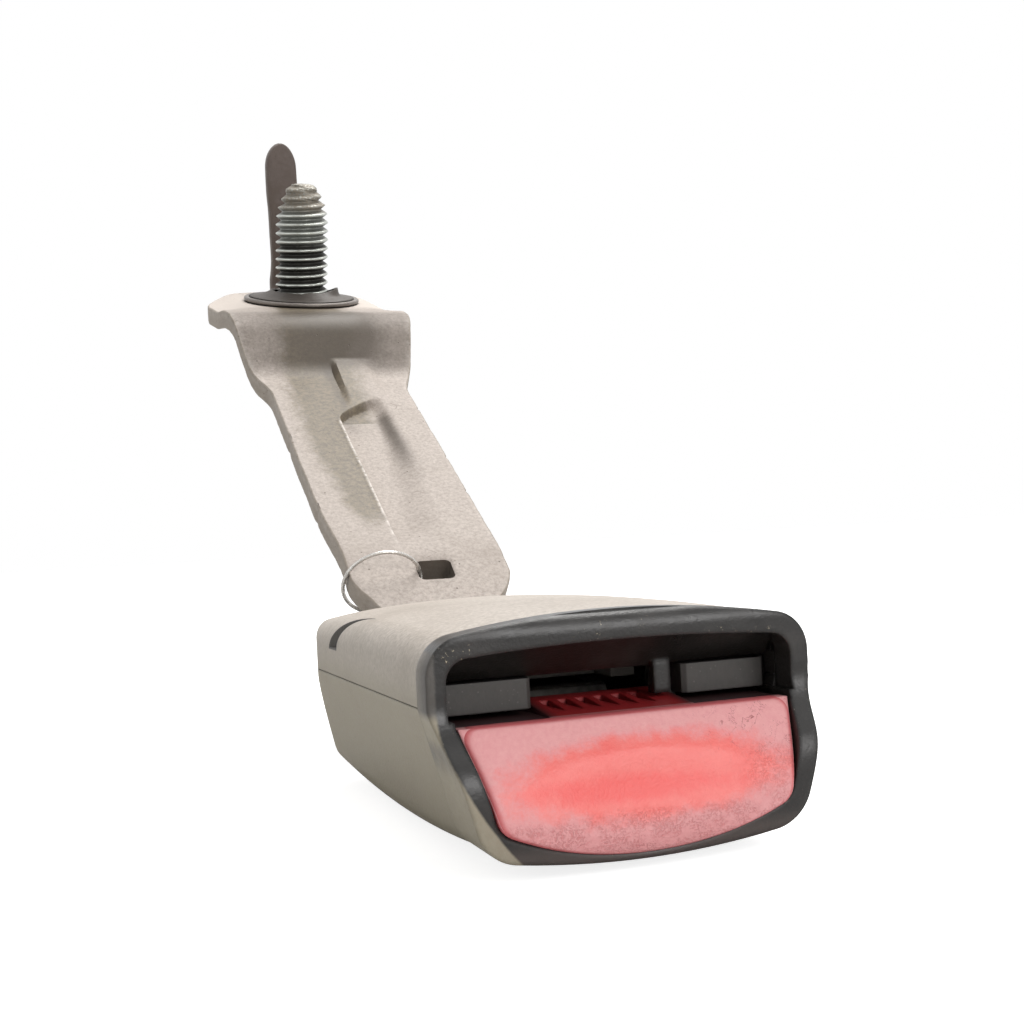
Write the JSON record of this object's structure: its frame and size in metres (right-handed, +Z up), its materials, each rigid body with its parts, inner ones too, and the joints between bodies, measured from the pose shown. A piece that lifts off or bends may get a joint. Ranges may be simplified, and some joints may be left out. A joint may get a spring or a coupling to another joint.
{
  "type": "seat belt buckle",
  "caption": "Seat belt buckle with a push button in its face, two-shell housing, and a bent steel anchor strap that ends in a threaded stud and a locating tab.",
  "frame": {"origin": "middle of the mouth: the tongue's middle plane meets the face of the mouth on the buckle's symmetry plane", "axes": "+Y runs from the button face back towards the anchor, +X is to the right seen from the front, +Z up through the top cover"},
  "size_m": [0.043, 0.1908, 0.1247],
  "materials": {
    "cover_plastic": "warm grey moulded plastic, satin grain",
    "bezel_plastic": "near-black satin plastic, rubbed",
    "button_plastic": "red plastic, worn pale outside the thumb dish",
    "guide_plastic": "dark grey plastic",
    "frame_steel": "zinc plated stamping",
    "spring_steel": "bright spring wire",
    "ejector_plastic": "natural acetal",
    "strap_steel": "plated stamping, stained and scratched",
    "bolt_steel": "plated bolt, thread rubbed bright",
    "dark_steel": "phosphate black, dull",
    "collar_rubber": "torn black retaining collar"
  },
  "bodies": {
    "buckle": {"upper_cover": "cover_plastic", "lower_cover": "cover_plastic", "bezel": "bezel_plastic", "tongue_guide": "guide_plastic", "frame": "frame_steel", "latch_pin": "frame_steel", "latch_spring": "spring_steel", "lock_springs": "spring_steel", "ejector_spring": "spring_steel", "button_springs": "spring_steel", "anchor_strap": "strap_steel", "frame_rivets": "frame_steel", "anchor_bushing": "dark_steel", "flat_washer": "dark_steel", "wave_washer": "spring_steel"},
    "button": {"press_button": "button_plastic"},
    "ejector": {"ejector": "ejector_plastic"},
    "latch": {"latch_plate": "frame_steel"},
    "lock": {"lock_bar": "frame_steel"},
    "bolt": {"anchor_bolt": "bolt_steel", "retaining_collar": "collar_rubber"},
    "ring": {"tag_ring": "spring_steel"}
  },
  "joints": [
    {"name": "button_press", "type": "slide", "parent": "buckle", "child": "button", "axis": [0, 1, 0], "range_m": [0, 0.004], "stiffness_N_per_m": 1500, "springref_m": -0.004, "deforming": ["button_springs"]},
    {"name": "ejector_slide", "type": "slide", "parent": "buckle", "child": "ejector", "axis": [0, 1, 0], "range_m": [0, 0.009], "stiffness_N_per_m": 600, "springref_m": -0.006, "deforming": ["ejector_spring"]},
    {"name": "latch_pivot", "type": "hinge", "parent": "buckle", "child": "latch", "pos_m": [0, 0.0395, -0.0034], "axis": [-1, 0, 0], "range_deg": [0, 7.2], "deforming": ["latch_spring"]},
    {"name": "lock_slide", "type": "slide", "parent": "buckle", "child": "lock", "axis": [0, -1, 0], "range_m": [0, 0.004], "deforming": ["lock_springs"]},
    {"name": "bolt_spin", "type": "hinge", "parent": "buckle", "child": "bolt", "pos_m": [0, 0.1628, 0.0691], "axis": [0, -0.289, 0.9573], "continuous": true},
    {"name": "ring_swing", "type": "hinge", "parent": "buckle", "child": "ring", "pos_m": [-0.00745, 0.07436, 0.00968], "axis": [1, 0, 0], "range_deg": [-40, 40]}
  ],
  "couplings": [
    {"joint": "latch_pivot", "follows": "ejector_slide", "rad_per_m": 13.962},
    {"joint": "lock_slide", "follows": "ejector_slide", "ratio": 0.4444}
  ]
}
